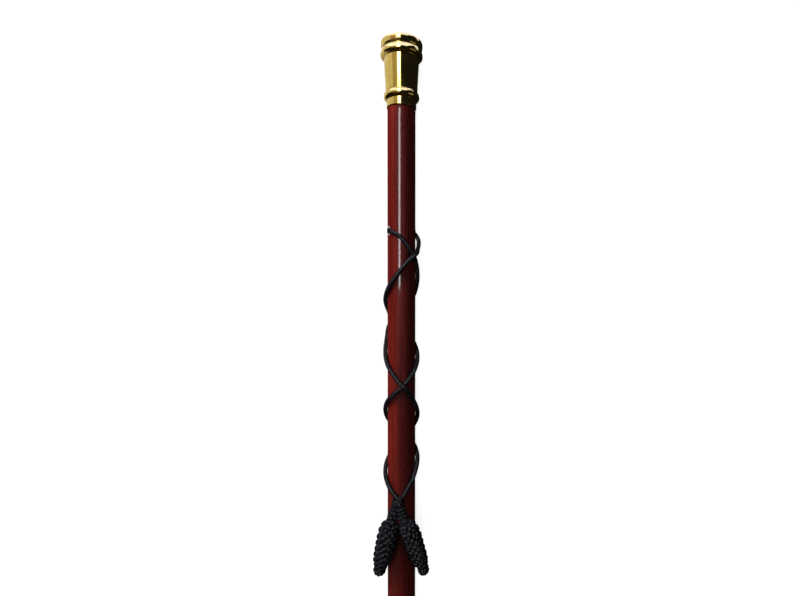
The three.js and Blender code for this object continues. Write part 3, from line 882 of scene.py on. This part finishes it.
plait = plait_tree()
tassels = []
for hand, keys in TASSEL_LINES.items():
    centre = evenly(smooth_line([(x, -down, z) for x, down, z in keys], 20), 0.5)
    along = np.linspace(0, TASSEL_NECK + TASSEL_BODY, len(centre))
    shape = np.array([*[(share * TASSEL_NECK, r) for share, r in NECK_PROFILE],
                      *[(TASSEL_NECK + share * TASSEL_BODY, r) for share, r in TASSEL_PROFILE]])
    line = bpy.data.meshes.new(f"{hand}_tassel_line")
    edges = [(i, i + 1) for i in range(len(centre) - 1)]
    line.from_pydata([tuple(p) for p in lay_down(centre)], edges, [])
    radius = line.attributes.new("plait_radius", "FLOAT", "POINT")
    slim = np.interp(along, SLIMS_BETWEEN, (1, TASSEL_SLIM[hand]))
    radius.data.foreach_set("value", np.interp(along, shape[:, 0], shape[:, 1]) * slim * MM)
    tassel = grown(f"{hand}_tassel", plait, line, Strands_Each_Way=STRANDS_EACH_WAY, Samples=150,
                   Twist=160.0, Flatness=0.8, Weave=0.45, Yarn=plait_yarn)
    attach(tassel, "root")
    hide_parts(f"tassel_{hand}")
    tassels.append(tassel)


# --- Floor and light ------------------------------------------------------------------
# A plain white surface under soft studio light: a window of light to the left of the head,
# a weak fill on the right, a low one on the left of the lower half and a strip overhead.
# White, warm and blue cards that only the metal mirrors stand round it, most of them to the
# left and beyond the head.
FLOOR_SIZE = 12

paper, tree, shader = finish_material("pale_paper", Specular_IOR_Level=0.1, Roughness=0.9)
tooth = noise(tree, tree.nodes.new("ShaderNodeTexCoord").outputs["Object"], 0.004, detail=4)
white = colour_blend(tree, tooth, (0.9, 0.9, 0.9, 1), (0.93, 0.93, 0.93, 1))
tree.links.new(white, shader.inputs["Base Color"])
bpy.ops.mesh.primitive_plane_add(size=FLOOR_SIZE, location=(0, 0, 0))
floor = bpy.context.object
floor.name = "floor"
floor.data.materials.append(paper)
floor.visible_diffuse = False
floor.visible_glossy = False

# a pale wall all round, which only the camera sees
bpy.ops.mesh.primitive_uv_sphere_add(segments=64, ring_count=32, radius=FLOOR_SIZE / 2)
wall = bpy.context.object
wall.name = "wall"
wall_paper, tree, shader = finish_material(
    "wall_paper", Base_Color=(0, 0, 0, 1), Specular_IOR_Level=0.0, Roughness=1.0,
    Emission_Color=(0.93, 0.93, 0.93, 1), Emission_Strength=1.0)
wall.data.materials.append(wall_paper)
wall.visible_diffuse = False
wall.visible_glossy = False
wall.visible_shadow = False


def lit_only(name, pieces):
    """A collection for a light that falls on these pieces alone."""
    group = bpy.data.collections.new(name)
    for piece in pieces:
        group.objects.link(piece)
    return group


def area_light(name, place, aim, size, power, colour=(1, 1, 1), only=None):
    """A rectangular light in metres and watts that falls on a collection's pieces only."""
    data = bpy.data.lights.new(name, "AREA")
    data.shape = "RECTANGLE"
    data.size, data.size_y = size
    data.energy = power
    data.color = colour
    light = bpy.data.objects.new(name, data)
    light.location = place
    light.rotation_euler = (Vector(aim) - Vector(place)).to_track_quat("-Z", "Y").to_euler()
    bpy.context.scene.collection.objects.link(light)
    light.light_linking.receiver_collection = only
    return light


metal = lit_only("lit_metal", [head, ferrule])
linings = lit_only("lit_linings", [eyelet_left, eyelet_right])
staff = lit_only("lit_staff", [cord, head, shaft, ferrule, eyelet_left, eyelet_right, knot, *tassels])
WARM = (1, 0.98, 0.95)
WARMER = (1, 0.97, 0.94)
DAYLIGHT = (0.9, 0.94, 1)
for name, place, aim, size, power, colour in (
        ("window", (-0.38, 0.67, 0.19), (0, 0.42, 0), (0.5, 0.4), 5.4, WARM),
        ("fill", (1.0, -0.1, 0.9), (0, 0.05, 0), (1, 1), 2.0, DAYLIGHT),
        ("low_fill", (-0.34, -0.2, 0.22), (0, 0, 0), (0.4, 0.3), 0.75, WARMER)):
    soft = area_light(name, place, aim, size, power, colour, staff)
    soft.visible_glossy = False
glossy = lit_only("lit_glossy", [cord, shaft, knot, *tassels])
strip = area_light("strip", (-0.17, 0.71, 1.0), (-0.17, 0.71, 0), (0.26, 0.84), 10, only=glossy)
strip.visible_diffuse = False

# the metal's cards, placed by what the drum mirrors
CARD_Y = 1.41
CARD_LENGTH = 1.58
CARD_LEFT = -1.33
ON_FLOOR = 0.002
FLOOR_CARD_GLOW = 9.4  # watts to the square metre
WHITE = (1, 1, 1)
COOL = (0.42, 0.46, 1)
AMBER = (1, 0.86, 0.6)
SAND = (1, 0.8, 0.6)
ROSE = (1, 0.7, 0.5)
half_left = CARD_LEFT / 2
for name, place, aim, size, power, colour in (
        ("metal_strip", (-0.17, 0.94, 1.0), (-0.17, 0.94, 0), (0.26, 0.38), 4.5, WHITE),
        ("strip_glow", (-0.19, CARD_Y, 1.02), (-0.19, CARD_Y, 0), (0.44, CARD_LENGTH), 3.7, WHITE),
        ("upper_card", (-0.87, CARD_Y, 1.03), (-0.87, CARD_Y, 0), (0.9, CARD_LENGTH), 1.83, AMBER),
        ("left_card", (CARD_LEFT, CARD_Y, 0.5), (0, CARD_Y, 0.5), (CARD_LENGTH, 1), 3.26, WHITE),
        ("floor_card", (half_left, 0.75, ON_FLOOR), (half_left, 0.75, 1), (-CARD_LEFT, 0.7), 2.1,
         WHITE),
        ("room_card", (-0.6, 0.1, 1.05), (-0.6, 0.1, 0), (1.2, 1.0), 0.45, ROSE),
        ("right_card", (1.0, 0.05, 0.4), (0, 0.05, 0.4), (0.8, 0.7), 0.5, SAND),
        ("head_card", (-0.25, 2.1, 1.15), (-0.25, 0, 1.15), (3.5, 2.3), 76, COOL)):
    area_light(name, place, aim, size, power, colour, metal)
for left, right, near, far in ((-0.35, 0.3, 0.66, 1.6), (-0.08, 0.15, 0.5, 0.66),
                               (-0.03, 0, 0.451, 0.5), (0.012, 0.075, 0.472, 0.5)):
    middle = ((left + right) / 2, (near + far) / 2)
    size = (right - left, far - near)
    area_light("head_floor_card", (*middle, ON_FLOOR), (*middle, 1), size,
               FLOOR_CARD_GLOW * size[0] * size[1], COOL, metal)
area_light("lining_card", (-0.21, 0.3, ON_FLOOR), (-0.21, 0.3, 1), (0.38, 0.4), 0.4, only=linings)

# the surface has lights of its own: one that whitens it and one that casts the soft shadow
lit_floor = lit_only("lit_floor", [floor])
for name, height, size, power, shadows in (("floor_light", 4, 30, 4090, False),
                                           ("floor_shade", 2.5, 4, 14, True)):
    overhead = area_light(name, (0, 0, height), (0, 0, 0), (size, size), power, only=lit_floor)
    overhead.visible_glossy = False
    overhead.data.use_shadow = shadows
for light in bpy.data.objects:
    if light.type == "LIGHT":
        light.visible_camera = False
world = bpy.data.worlds.new("studio")
bpy.context.scene.world = world
world.use_nodes = True
world.node_tree.nodes["Background"].inputs["Color"].default_value = (1, 1, 1, 1)
world.node_tree.nodes["Background"].inputs["Strength"].default_value = 0.01
